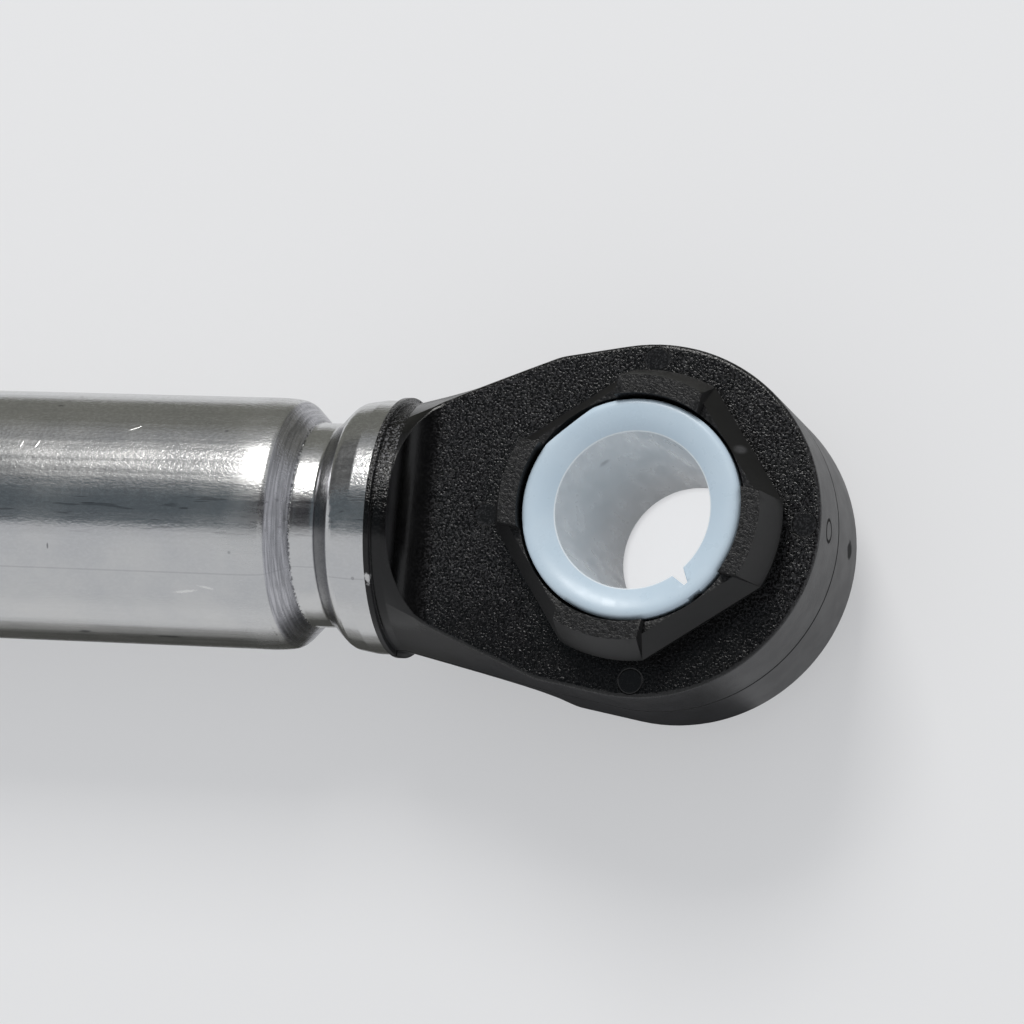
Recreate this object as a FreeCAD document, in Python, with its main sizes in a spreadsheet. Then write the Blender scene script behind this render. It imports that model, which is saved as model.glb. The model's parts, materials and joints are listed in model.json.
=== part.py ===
import FreeCAD, Part
import enum
import math
import os

import Sketcher

# Friction damper of a washing machine, lying on its side with both eyes flat.
# The origin is the middle of the housing eye, +Z runs along its pin bore, and the
# tubes run towards -X. Lengths are millimetres and angles are degrees.
#
# Each side of the damper is drawn in a frame of its own, with its eye at the origin
# and its tube along +X, and is then placed: the housing is turned half a turn about Z,
# and the tappet is moved along X by the distance between the eyes.

SIZES = {
    # Tubes
    "housing_radius": 12.0,
    "housing_wall": 1.0,
    "lining_room": 2.0,
    "tappet_wall": 1.0,
    "tube_start": 25.5,
    "eye_spacing": 234.0,
    "stroke": 76.0,
    "stop_gap": 1.0,
    # Grooves rolled into the tubes
    "groove_angle": 45.0,
    "crimp_place": 32.4,
    "crimp_depth": 2.3,
    "crimp_eye_bend": 0.4,
    "crimp_taper_bend": 0.2,
    "crimp_taper_angle": 9.0,
    "crimp_taper_length": 1.5,
    "crimp_tube_bend": 0.2,
    "crimp_lead_bend": 14.0,
    "crimp_lead_angle": 8.0,
    "crimp_floor_bend": 0.6,
    "crimp_floor": 1.8,
    "bead_depth": 1.0,
    "bead_bend": 0.6,
    "bead_floor_bend": 0.8,
    "ring_groove_depth": 0.8,
    "ring_groove_floor": 3.8,
    "ring_groove_bend": 0.2,
    "ring_groove_floor_bend": 0.6,
    "ring_groove_offset": 4.0,
    # Moulded eyes
    "eye_radius": 16.5,
    "eye_thickness": 16.0,
    "eye_edge_round": 0.4,
    "shoulder_place": 9.2,
    "shoulder_round": 6.0,
    "neck_place": 24.0,
    "neck_inset": 0.2,
    "neck_cover": 0.5,
    "cheek_relief": 0.72,
    "cheek_stock": 0.5,
    "scoop_place": 23.5,
    "scoop_radius": 4.0,
    "flange_overhang": 0.3,
    "flange_thickness": 0.5,
    "plug_end": 39.0,
    "plug_wall": 4.4,
    "plug_core_depth": 10.0,
    "plug_chamfer": 0.8,
    # Rubber bushes
    "bush_seat_radius": 11.5,
    "bush_flange_radius": 13.5,
    "bush_edge_rise": 2.2,
    "bush_undercut": 0.5,
    "bush_segment_rise": 4.6,
    "block_rise": 5.9,
    "block_radius": 12.2,
    "block_width": 8.0,
    "bush_clock": 79.5,
    # Sleeves
    "pin_radius": 7.25,
    "sleeve_radius": 9.6,
    "sleeve_length": 26.4,
    "sleeve_bore_length": 24.4,
    "lip_radius": 10.2,
    "lip_edge_drop": 0.9,
    "lip_height": 2.5,
    "lip_flat_distance": 9.75,
    "notch_width": 1.27,
    "notch_tip_width": 0.4,
    "notch_depth": 1.65,
    "rim_nick_width": 1.3,
    "rim_nick_depth": 0.15,
    "sleeve_clock": 310.5,
    # Pieces inside the housing
    "buffer_thickness": 3.0,
    "buffer_stem_length": 6.0,
    "inner_guide_length": 6.5,
    "lining_length": 7.5,
    "spacer_length": 1.5,
    "mouth_guide_length": 9.0,
    "collar_length": 2.5,
    "collar_chamfer": 0.6,
    "lead_in": 1.0,
    "ring_chamfer": 0.4,
    "butt_gap_angle": 6.0,
    # Fits and clearances
    "plug_clearance": 0.05,
    "seat_clearance": 0.15,
    "bush_clearance": 0.02,
    "lip_gap": 0.3,
    "buffer_clearance": 0.5,
    "stem_clearance": 0.05,
    "guide_clearance": 0.05,
    "lining_clearance": 0.03,
    "spacer_clearance": 0.3,
    "ring_clearance": 0.05,
    "ring_side_clearance": 0.2,
    "ring_bore_clearance": 0.08,
}

BLOCKS_PER_END = 4
FULL_TURN = 360.0
FLAT_TOLERANCE = 1e-4

doc = FreeCAD.newDocument("friction_damper")
sheet = doc.addObject("Spreadsheet::Sheet", "Sizes")
for row, (alias, number) in enumerate(SIZES.items(), start=1):
    sheet.set(f"A{row}", alias)
    sheet.set(f"B{row}", str(number))
    sheet.setAlias(f"B{row}", alias)
doc.recompute()


class Size:
    """A size with its value and the sheet expression that gives it."""

    def __init__(self, value, text):
        self.value = value
        self.text = text

    def __add__(self, other):
        other = as_size(other)
        return Size(self.value + other.value, f"({self.text} + {other.text})")

    def __sub__(self, other):
        other = as_size(other)
        return Size(self.value - other.value, f"({self.text} - {other.text})")

    def __mul__(self, other):
        other = as_size(other)
        return Size(self.value * other.value, f"{self.text} * {other.text}")

    def __truediv__(self, other):
        other = as_size(other)
        return Size(self.value / other.value, f"{self.text} / ({other.text})")

    def __neg__(self):
        return Size(-self.value, f"(0 - {self.text})")

    def __rsub__(self, other):
        return as_size(other) - self

    def __rmul__(self, other):
        return as_size(other) * self


def as_size(number):
    """A size from a size or a plain number."""
    if isinstance(number, Size):
        return number
    return Size(float(number), f"({float(number)})")


def sized(alias):
    """The size kept in the sheet under an alias."""
    return Size(float(sheet.get(alias)), f"Sizes.{alias}")


def sine(angle):
    return Size(math.sin(math.radians(angle.value)), f"sin({angle.text} * 1deg)")


def cosine(angle):
    return Size(math.cos(math.radians(angle.value)), f"cos({angle.text} * 1deg)")


def root(square):
    return Size(math.sqrt(square.value), f"sqrt({square.text})")


def larger(one, other):
    return Size(max(one.value, other.value), f"max({one.text}; {other.text})")


def is_zero(number):
    return not isinstance(number, Size) and number == 0


# Places along the housing, measured from its eye
PLUG_END = sized("plug_end")
HALF_STROKE = sized("stroke") / 2
BUFFER_FACE = PLUG_END + sized("buffer_thickness")
TAPPET_END = BUFFER_FACE + sized("stop_gap") + HALF_STROKE
RING_PLACE = TAPPET_END + sized("ring_groove_offset")
RING_HALF_WIDTH = sized("ring_groove_floor") / 2 - sized("ring_side_clearance")
INNER_GUIDE_START = RING_PLACE + RING_HALF_WIDTH + HALF_STROKE + sized("stop_gap")
INNER_GUIDE_END = INNER_GUIDE_START + sized("inner_guide_length")
INNER_LINING_END = INNER_GUIDE_END + sized("lining_length")
SPACER_END = INNER_LINING_END + sized("spacer_length")
OUTER_LINING_END = SPACER_END + sized("lining_length")
MOUTH = OUTER_LINING_END + sized("mouth_guide_length")
COLLAR_END = MOUTH + sized("collar_length")
INNER_BEAD_PLACE = (INNER_GUIDE_START + INNER_GUIDE_END) / 2
MOUTH_BEAD_PLACE = (OUTER_LINING_END + MOUTH) / 2

# Radii and heights that several pieces share
HOUSING_BORE = sized("housing_radius") - sized("housing_wall")
TAPPET_RADIUS = HOUSING_BORE - sized("lining_room")
PACK_RADIUS = HOUSING_BORE - sized("plug_clearance")
EYE_HALF = sized("eye_thickness") / 2
LIP_POCKET_RADIUS = sized("lip_radius") + sized("lip_gap")
SLEEVE_HALF = sized("sleeve_length") / 2
LIP_UNDERSIDE = SLEEVE_HALF - sized("lip_height")
BUSH_EDGE = EYE_HALF + sized("bush_edge_rise")
SEGMENT_TOP = EYE_HALF + sized("bush_segment_rise")
BLOCK_TOP = EYE_HALF + sized("block_rise")


# Paths: lists of (x, y, bend), where bend is the radius of an arc to the next point,
# positive when the path turns left, negative when it turns right, None for a line.


def corner(x, y):
    return (x, y, None)


def reverse_path(path):
    """The same path walked the other way."""
    walked = []
    for index in range(len(path) - 1, -1, -1):
        x, y, _ = path[index]
        bend = path[index - 1][2] if index > 0 else None
        walked.append((x, y, -bend if bend is not None else None))
    return walked


class Bend:
    """A bend of a tube's wall, from its inner radius, the slope that it ends at and what follows.

    A run is the length of the straight slope after the bend.
    """

    def __init__(self, wall, inner_radius, angle, run=0):
        self.radius = inner_radius + wall
        self.sin = sine(angle)
        self.cos = cosine(angle)
        self.run = run


class RolledGroove:
    """A groove rolled into a tube: bends and a sloping wall on each side, and a round floor.

    Each side is a list of bends, from the straight tube to the sloping wall. The floor bend
    is the outer radius at the bottom. A floor length makes the bottom flat between two arcs.
    """

    def __init__(self, place, radius, wall, depth, sides, floor_bend, floor):
        self.place = place
        self.radius = radius
        self.wall = wall
        self.depth = depth
        self.sides = sides
        self.floor_bend = floor_bend
        self.floor = floor

    def floor_half(self):
        return as_size(self.floor) / 2

    def half_width(self, bends):
        """From the middle of the groove to where the tube is straight again."""
        slope = bends[-1]
        width = self.floor_half() + self.floor_bend * slope.sin
        drop = self.floor_bend * (1 - slope.cos)
        last_sin = as_size(0)
        last_cos = as_size(1)
        for bend in bends:
            width += bend.radius * (bend.sin - last_sin) + bend.run * bend.cos
            drop += bend.radius * (last_cos - bend.cos) + bend.run * bend.sin
            last_sin = bend.sin
            last_cos = bend.cos
        return width + (self.depth - drop) * slope.cos / slope.sin

    def side(self, bends, outwards, skin):
        """One side from the straight tube to the floor, skin deep in the wall."""
        x = self.place + outwards * self.half_width(bends)
        y = self.radius - skin
        last_sin = as_size(0)
        last_cos = as_size(1)
        path = []
        for bend in bends:
            bend_radius = bend.radius - skin
            path.append((x, y, outwards * bend_radius))
            x -= outwards * (bend_radius * (bend.sin - last_sin))
            y -= bend_radius * (last_cos - bend.cos)
            if not is_zero(bend.run):
                path.append(corner(x, y))
                x -= outwards * (bend.run * bend.cos)
                y -= bend.run * bend.sin
            last_sin = bend.sin
            last_cos = bend.cos
        floor_x = self.place + outwards * self.floor_half()
        floor_radius = self.floor_bend + skin
        floor_centre = self.radius - self.depth + self.floor_bend
        path += [
            corner(x, y),
            (
                floor_x + outwards * (floor_radius * last_sin),
                floor_centre - floor_radius * last_cos,
                -outwards * floor_radius,
            ),
        ]
        if not is_zero(self.floor):
            path.append(corner(floor_x, floor_centre - floor_radius))
        return path

    def path(self, skin):
        """The whole groove from the eye's side to the far side."""
        near = self.side(self.sides[0], -1, skin)
        far = reverse_path(self.side(self.sides[1], 1, skin))
        return near + far

    def seat(self, outer_radius):
        """A groove in the piece inside the tube, clear of the rolled wall."""
        bottom = self.radius - self.depth - self.wall - sized("seat_clearance")
        path = []
        for bends, outwards in zip(self.sides, (-1, 1)):
            slope = bends[-1]
            inner_floor = self.floor_bend + self.wall
            floor_half = self.floor_half() + inner_floor * (slope.sin - (1 - slope.cos) * slope.cos / slope.sin)
            lip = corner(self.place + outwards * self.half_width(bends), outer_radius)
            foot = corner(self.place + outwards * floor_half, bottom)
            path += [lip, foot] if outwards < 0 else [foot, lip]
        return path


def crimp(radius, wall):
    """The deep groove that locks a tube to the plug of its eye."""
    return RolledGroove(
        sized("crimp_place"),
        radius,
        wall,
        sized("crimp_depth"),
        (
            [
                Bend(
                    wall,
                    sized("crimp_taper_bend"),
                    sized("crimp_taper_angle"),
                    sized("crimp_taper_length"),
                ),
                Bend(wall, sized("crimp_eye_bend"), sized("groove_angle")),
            ],
            [
                Bend(wall, sized("crimp_lead_bend"), sized("crimp_lead_angle")),
                Bend(wall, sized("crimp_tube_bend"), sized("groove_angle")),
            ],
        ),
        sized("crimp_floor_bend"),
        sized("crimp_floor"),
    )


def bead(place):
    """A shallow groove in the housing that holds one of the two guides."""
    side = [Bend(sized("housing_wall"), sized("bead_bend"), sized("groove_angle"))]
    return RolledGroove(
        place,
        sized("housing_radius"),
        sized("housing_wall"),
        sized("bead_depth"),
        (side, side),
        sized("bead_floor_bend"),
        0,
    )


def stop_ring_groove():
    """The flat-bottomed groove near the inner end of the tappet, in the tappet's frame."""
    side = [Bend(sized("tappet_wall"), sized("ring_groove_bend"), sized("groove_angle"))]
    return RolledGroove(
        sized("eye_spacing") - RING_PLACE,
        TAPPET_RADIUS,
        sized("tappet_wall"),
        sized("ring_groove_depth"),
        (side, side),
        sized("ring_groove_floor_bend"),
        sized("ring_groove_floor"),
    )


# Sketches and features


class SketchAxis(enum.IntEnum):
    """How a sketch numbers its own axes."""

    HORIZONTAL = -1
    VERTICAL = -2


class Vertex(enum.IntEnum):
    """How a sketch numbers the two ends of an edge."""

    START = 1
    END = 2


def new_body(label):
    body = doc.addObject("PartDesign::Body", label)
    body.Label = label
    return body


def origin_feature(body, role):
    for feature in body.Origin.OriginFeatures:
        if feature.Role == role:
            return feature
    raise ValueError(role)


def bind(target, prop, size):
    """Tie a property to the sheet."""
    target.setExpression(prop, as_size(size).text)


def arc_between(start, end, bend):
    """The short arc from start to end, turning left for a positive bend."""
    chord = end - start
    middle = (start + end) / 2
    left = FreeCAD.Vector(-chord.y, chord.x, 0).normalize()
    reach = math.sqrt(max(bend * bend - chord.Length * chord.Length / 4, 0.0))
    centre = middle + left * math.copysign(reach, bend)
    circle = Part.Circle(centre, FreeCAD.Vector(0, 0, 1), abs(bend))
    if bend < 0:
        start, end = end, start
    first = math.atan2(start.y - centre.y, start.x - centre.x)
    last = math.atan2(end.y - centre.y, end.x - centre.x)
    if last < first:
        last += 2 * math.pi
    return Part.ArcOfCircle(circle, first, last)


def new_sketch(body, name, role):
    sketch = body.newObject("Sketcher::SketchObject", name)
    sketch.AttachmentSupport = (origin_feature(body, role), [""])
    sketch.MapMode = "FlatFace"
    return sketch


def pin_coordinate(sketch, kind, axis, geometry, vertex, size):
    """Hold one coordinate of a vertex at a size of the sheet."""
    if is_zero(size):
        sketch.addConstraint(Sketcher.Constraint("PointOnObject", geometry, vertex, axis))
        return
    size = as_size(size)
    index = sketch.addConstraint(Sketcher.Constraint(kind, geometry, vertex, size.value))
    sketch.setExpression(f"Constraints[{index}]", size.text)


def draw(sketch, path):
    """Add a closed outline to a sketch, with every point and arc tied to the sheet."""
    points = [FreeCAD.Vector(as_size(x).value, as_size(y).value, 0) for x, y, _ in path]
    ends = []
    for index, (_, _, bend) in enumerate(path):
        start = points[index]
        end = points[(index + 1) % len(points)]
        if bend is None:
            edge = sketch.addGeometry(Part.LineSegment(start, end))
        else:
            edge = sketch.addGeometry(arc_between(start, end, as_size(bend).value))
        clockwise = bend is not None and as_size(bend).value < 0
        walked = (Vertex.END, Vertex.START) if clockwise else (Vertex.START, Vertex.END)
        ends.append((edge, *walked))
    for index, (edge, _, end_vertex) in enumerate(ends):
        next_edge, next_start, _ = ends[(index + 1) % len(ends)]
        sketch.addConstraint(
            Sketcher.Constraint("Coincident", edge, end_vertex, next_edge, next_start)
        )
    for (edge, start_vertex, _), (x, y, bend) in zip(ends, path):
        pin_coordinate(sketch, "DistanceX", SketchAxis.VERTICAL, edge, start_vertex, x)
        pin_coordinate(sketch, "DistanceY", SketchAxis.HORIZONTAL, edge, start_vertex, y)
        if bend is not None:
            radius = as_size(bend)
            radius = radius if radius.value > 0 else -radius
            index = sketch.addConstraint(Sketcher.Constraint("Radius", edge, radius.value))
            sketch.setExpression(f"Constraints[{index}]", radius.text)


def turn(body, name, path, role="XY_Plane", axis="H_Axis", gap_angle=None):
    """Turn a closed outline about one axis of its sketch."""
    sketch = new_sketch(body, name + "Outline", role)
    draw(sketch, path)
    feature = body.newObject("PartDesign::Revolution", name)
    feature.Profile = sketch
    feature.ReferenceAxis = (sketch, [axis])
    feature.Angle = FULL_TURN
    if gap_angle is not None:
        bind(feature, "Angle", FULL_TURN - gap_angle)
    doc.recompute()
    return feature


def pad_both_ways(body, name, path, length):
    """Pad an outline of the XY plane to both sides of it."""
    sketch = new_sketch(body, name + "Outline", "XY_Plane")
    draw(sketch, path)
    feature = body.newObject("PartDesign::Pad", name)
    feature.Profile = sketch
    feature.SideType = "Symmetric"
    bind(feature, "Length", length)
    doc.recompute()
    return feature


def cut_both_ways(body, name, paths, length, role, turned_by=None):
    """Cut outlines through a body, to both sides of their sketch plane."""
    sketch = new_sketch(body, name + "Outline", role)
    if turned_by is not None:
        turning = FreeCAD.Rotation(FreeCAD.Vector(0, 1, 0), turned_by)
        sketch.AttachmentOffset = FreeCAD.Placement(FreeCAD.Vector(), turning)
    for path in paths:
        draw(sketch, path)
    feature = body.newObject("PartDesign::Pocket", name)
    feature.Profile = sketch
    feature.SideType = "Symmetric"
    bind(feature, "Length", length)
    doc.recompute()
    return feature


def cut_outwards(body, name, path, height, depth, upwards):
    """Cut an outline from a height above the XY plane away from that plane."""
    sketch = new_sketch(body, name + "Outline", "XY_Plane")
    bind(sketch, "AttachmentOffset.Base.z", height)
    draw(sketch, path)
    feature = body.newObject("PartDesign::Pocket", name)
    feature.Profile = sketch
    feature.Reversed = upwards
    bind(feature, "Length", depth)
    doc.recompute()
    return feature


def pattern_about_z(body, name, feature, count):
    """Repeat a feature evenly about the Z axis."""
    pattern = body.newObject("PartDesign::PolarPattern", name)
    pattern.Originals = [feature]
    pattern.Axis = (origin_feature(body, "Z_Axis"), [""])
    pattern.Angle = FULL_TURN
    pattern.Occurrences = count
    body.Tip = pattern
    doc.recompute()
    return pattern


def loft_along_x(body, name, sections):
    """A ruled loft through outlines that stand at places along X."""
    sketches = []
    for index, (place, path) in enumerate(sections):
        sketch = new_sketch(body, f"{name}Section{index}", "YZ_Plane")
        bind(sketch, "AttachmentOffset.Base.z", place)
        draw(sketch, path)
        sketches.append(sketch)
    feature = body.newObject("PartDesign::AdditiveLoft", name)
    feature.Profile = sketches[0]
    feature.Sections = sketches[1:]
    feature.Ruled = True
    doc.recompute()
    return feature


def round_edges(body, name, feature, chosen, radius):
    """Round the edges of a feature that a test chooses."""
    edges = [
        f"Edge{index}"
        for index, edge in enumerate(feature.Shape.Edges, start=1)
        if chosen(edge)
    ]
    fillet = body.newObject("PartDesign::Fillet", name)
    fillet.Base = (feature, edges)
    bind(fillet, "Radius", radius)
    doc.recompute()
    return fillet


# Pieces


def make_tube(label, radius, wall, end, grooves):
    """A drawn steel tube with grooves rolled into it."""
    outer = [corner(sized("tube_start"), radius)]
    inner = [corner(sized("tube_start"), radius - wall)]
    for groove in grooves:
        outer += groove.path(0)
        inner += groove.path(wall)
    outer.append(corner(end, radius))
    inner.append(corner(end, radius - wall))
    body = new_body(label)
    turn(body, "Drawn", outer + reverse_path(inner))
    return body


def make_eye(label, tube_radius, tube_wall):
    """A moulded eye: round head, tapering cheeks, neck, flange and plug."""
    body = new_body(label)
    radius = sized("eye_radius")
    neck_radius = larger(tube_radius - sized("neck_inset"), EYE_HALF + sized("neck_cover"))
    neck_start = sized("neck_place")
    shoulder = sized("shoulder_place")

    # The head's sides leave its circle on a tangent that passes just outside the neck
    aim_y = neck_radius + sized("cheek_relief")
    aim_square = neck_start * neck_start + aim_y * aim_y
    reach = root(aim_square - radius * radius)
    slope_sin = (radius * neck_start - reach * aim_y) / aim_square
    slope_cos = (radius * aim_y + reach * neck_start) / aim_square
    tangent_x = radius * slope_sin
    tangent_y = radius * slope_cos
    cheek_y = tangent_y - (shoulder - tangent_x) * slope_sin / slope_cos
    head = [
        corner(shoulder, cheek_y),
        (tangent_x, tangent_y, radius),
        (-radius, 0, radius),
        corner(tangent_x, -tangent_y),
        corner(shoulder, -cheek_y),
    ]
    pad_both_ways(body, "Head", head, sized("eye_thickness"))

    # The cheeks go from the head's square end to the round neck, over the faces' height
    neck_y = root(neck_radius * neck_radius - EYE_HALF * EYE_HALF)
    cheek_z = EYE_HALF + sized("cheek_stock")
    cheek_section = [
        corner(cheek_y, cheek_z),
        corner(-cheek_y, cheek_z),
        corner(-cheek_y, -cheek_z),
        corner(cheek_y, -cheek_z),
    ]
    neck_section = [
        (neck_y, EYE_HALF, neck_radius),
        (-neck_y, EYE_HALF, neck_radius),
        (-neck_y, -EYE_HALF, neck_radius),
        (neck_y, -EYE_HALF, neck_radius),
    ]
    loft_along_x(body, "Cheeks", [(shoulder, cheek_section), (neck_start, neck_section)])

    flange_start = sized("tube_start") - sized("flange_thickness")
    flange_radius = neck_radius + sized("neck_inset") + sized("flange_overhang")
    plug_radius = tube_radius - tube_wall - sized("plug_clearance")
    core_radius = plug_radius - sized("plug_wall")
    core_floor = PLUG_END - sized("plug_core_depth")
    neck_and_plug = [
        corner(neck_start, 0),
        corner(neck_start, neck_radius),
        corner(flange_start, neck_radius),
        corner(flange_start, flange_radius),
        corner(sized("tube_start"), flange_radius),
        corner(sized("tube_start"), plug_radius),
        *crimp(tube_radius, tube_wall).seat(plug_radius),
        corner(PLUG_END - sized("plug_chamfer"), plug_radius),
        corner(PLUG_END, plug_radius - sized("plug_chamfer")),
        corner(PLUG_END, core_radius),
        corner(core_floor, core_radius),
        corner(core_floor, 0),
    ]
    turn(body, "NeckAndPlug", neck_and_plug)

    # The faces are flat up to a hollow that rises to the neck
    scoop = sized("scoop_radius")
    scoop_start = sized("scoop_place") - scoop
    scoop_top = EYE_HALF + scoop
    above_neck = scoop_top + flange_radius
    faces = []
    for side in (1, -1):
        faces.append(
            [
                (scoop_start, side * EYE_HALF, side * scoop),
                corner(sized("scoop_place"), side * scoop_top),
                corner(sized("scoop_place"), side * above_neck),
                corner(-2 * radius, side * above_neck),
                corner(-2 * radius, side * EYE_HALF),
            ]
        )
    cut_both_ways(body, "Faces", faces, 4 * flange_radius, "XZ_Plane")

    seat = sized("bush_seat_radius")
    bore = [(seat, 0, seat), (0, seat, seat), (-seat, 0, seat), (0, -seat, seat)]
    bored = cut_both_ways(body, "BushSeat", [bore], 2 * sized("eye_thickness"), "XY_Plane")

    def at_shoulder(edge):
        """The upright edges where the head meets the cheeks."""
        ends = [vertex.Point for vertex in edge.Vertexes]
        return all(abs(end.x - shoulder.value) < FLAT_TOLERANCE for end in ends) and (
            abs(ends[0].y - ends[-1].y) < FLAT_TOLERANCE
        )

    def on_face_rim(edge):
        """The outer edge of both flat faces, from the head to the hollow."""
        ends = [vertex.Point for vertex in edge.Vertexes]
        flat = all(abs(abs(end.z) - EYE_HALF.value) < FLAT_TOLERANCE for end in ends)
        upright = ends[0].z * ends[-1].z < 0
        outside = all(math.hypot(end.x, end.y) > seat.value + FLAT_TOLERANCE for end in ends)
        crosses = abs(ends[0].x - ends[-1].x) < FLAT_TOLERANCE
        return flat and outside and not upright and not crosses

    shoulders = round_edges(body, "Shoulders", bored, at_shoulder, sized("shoulder_round"))
    round_edges(body, "FaceRims", shoulders, on_face_rim, sized("eye_edge_round"))
    return body


def bush_profile(top, rim_radius):
    """Half the section of a bush, with the flange's top at a height and a rim radius."""
    upper_end = [
        corner(sized("bush_seat_radius") - sized("bush_clearance"), EYE_HALF),
        corner(sized("bush_flange_radius") - sized("bush_undercut"), EYE_HALF),
        corner(sized("bush_flange_radius"), BUSH_EDGE),
        corner(rim_radius, top),
        corner(LIP_POCKET_RADIUS, top),
        corner(LIP_POCKET_RADIUS, LIP_UNDERSIDE),
        corner(sized("sleeve_radius") + sized("bush_clearance"), LIP_UNDERSIDE),
    ]
    lower_end = [corner(x, -y) for x, y, _ in reversed(upper_end)]
    return upper_end + lower_end


def make_bush_segments(label):
    """The bush with its low flange, whose four sides are cut to sloping flats."""
    body = new_body(label)
    flange_radius = sized("bush_flange_radius")
    rise_share = (SEGMENT_TOP - BUSH_EDGE) / (BLOCK_TOP - BUSH_EDGE)
    rim_radius = flange_radius - (flange_radius - sized("block_radius")) * rise_share
    turn(body, "Moulded", bush_profile(SEGMENT_TOP, rim_radius), "XZ_Plane", "V_Axis")

    block_half = sized("block_width") / 2
    block_reach = root(flange_radius * flange_radius - block_half * block_half)
    facet = (block_reach + block_half) / root(as_size(2))
    beyond = 2 * flange_radius
    facets = []
    for side in (1, -1):
        facets.append(
            [
                corner(LIP_POCKET_RADIUS, side * SEGMENT_TOP),
                corner(facet, side * BUSH_EDGE),
                corner(facet - sized("bush_undercut"), side * EYE_HALF),
                corner(beyond, side * EYE_HALF),
                corner(beyond, side * SEGMENT_TOP),
            ]
        )
    half_step = FULL_TURN / BLOCKS_PER_END / 2
    cut = cut_both_ways(body, "Facet", facets, beyond, "XZ_Plane", half_step)
    pattern_about_z(body, "Facets", cut, BLOCKS_PER_END)
    return body


def make_bush_blocks(label):
    """The bush with its high flange, cut down to the four blocks of each end."""
    body = new_body(label)
    profile = bush_profile(BLOCK_TOP, sized("block_radius"))
    turn(body, "Moulded", profile, "XZ_Plane", "V_Axis")
    block_half = sized("block_width") / 2
    beyond = 2 * sized("bush_flange_radius")
    window = [
        corner(block_half, block_half),
        corner(beyond, block_half),
        corner(beyond, beyond),
        corner(block_half, beyond),
    ]
    for end, upwards in (("Upper", True), ("Lower", False)):
        height = EYE_HALF if upwards else -EYE_HALF
        cut = cut_outwards(body, end + "Window", window, height, BLOCK_TOP, upwards)
        pattern_about_z(body, end + "Windows", cut, BLOCKS_PER_END)
    return body


def make_bush(label):
    """A rubber bush: a tube in the eye, and on each end a flange with raised blocks."""
    bush = doc.addObject("Part::Fuse", label)
    bush.Label = label
    bush.Base = make_bush_segments(label + "_segments")
    bush.Tool = make_bush_blocks(label + "_blocks")
    bush.Refine = True
    doc.recompute()
    return bush


def make_sleeve(label):
    """A plastic sleeve with a round lip on each end, for the pin that carries the eye."""
    body = new_body(label)
    bore = sized("pin_radius")
    bore_half = sized("sleeve_bore_length") / 2
    lip = sized("lip_radius")
    crown_radius = (bore + lip) / 2
    crown_half = (lip - bore) / 2
    lip_edge = SLEEVE_HALF - sized("lip_edge_drop")

    def crown_bend(drop):
        """The radius of an arc that is level at the crown and drops over half the lip."""
        return (crown_half * crown_half + drop * drop) / (2 * drop)

    inner_bend = -crown_bend(SLEEVE_HALF - bore_half)
    outer_bend = -crown_bend(sized("lip_edge_drop"))
    section = [
        corner(bore, -bore_half),
        (bore, bore_half, inner_bend),
        (crown_radius, SLEEVE_HALF, outer_bend),
        corner(lip, lip_edge),
        corner(lip, LIP_UNDERSIDE),
        corner(sized("sleeve_radius"), LIP_UNDERSIDE),
        corner(sized("sleeve_radius"), -LIP_UNDERSIDE),
        corner(lip, -LIP_UNDERSIDE),
        (lip, -lip_edge, outer_bend),
        (crown_radius, -SLEEVE_HALF, inner_bend),
    ]
    turn(body, "Moulded", section, "XZ_Plane", "V_Axis")

    depth = sized("notch_depth")
    notch_half = sized("notch_width") / 2
    tip_half = sized("notch_tip_width") / 2
    notch = [
        corner(bore - depth, -notch_half),
        corner(bore, -notch_half),
        corner(bore + depth, -tip_half),
        corner(bore + depth, tip_half),
        corner(bore, notch_half),
        corner(bore - depth, notch_half),
    ]
    flat = sized("lip_flat_distance")
    lip_flat = [
        corner(-flat, lip),
        corner(-2 * lip, lip),
        corner(-2 * lip, -lip),
        corner(-flat, -lip),
    ]
    nick_floor = lip - sized("rim_nick_depth")
    nick_half = sized("rim_nick_width") / 2
    rim_nick = [
        corner(nick_floor, -nick_half),
        corner(2 * lip, -nick_half),
        corner(2 * lip, nick_half),
        corner(nick_floor, nick_half),
    ]
    marks = [notch, lip_flat, rim_nick]
    cut_both_ways(body, "Marks", marks, 2 * sized("sleeve_length"), "XY_Plane")
    return body


def make_ring(label, start, end, inner_radius, outer_radius, chamfer=None, gap_angle=None):
    """A plain ring about X, with its outer edges broken and a butt gap if asked."""
    if chamfer is None:
        rim = [corner(start, outer_radius), corner(end, outer_radius)]
    else:
        rim = [
            corner(start, outer_radius - chamfer),
            corner(start + chamfer, outer_radius),
            corner(end - chamfer, outer_radius),
            corner(end, outer_radius - chamfer),
        ]
    section = [corner(start, inner_radius), *rim, corner(end, inner_radius)]
    body = new_body(label)
    turn(body, "Ring", section, gap_angle=gap_angle)
    return body


def make_buffer(label):
    """The rubber stop on the end of the housing plug, held by a stem in its core."""
    plug_radius = PACK_RADIUS
    stem_radius = plug_radius - sized("plug_wall") - sized("stem_clearance")
    disc_radius = plug_radius - sized("buffer_clearance")
    stem_start = PLUG_END - sized("buffer_stem_length")
    section = [
        corner(stem_start, 0),
        corner(stem_start, stem_radius),
        corner(PLUG_END, stem_radius),
        corner(PLUG_END, disc_radius),
        corner(BUFFER_FACE, disc_radius),
        corner(BUFFER_FACE, 0),
    ]
    body = new_body(label)
    turn(body, "Moulded", section)
    return body


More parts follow.
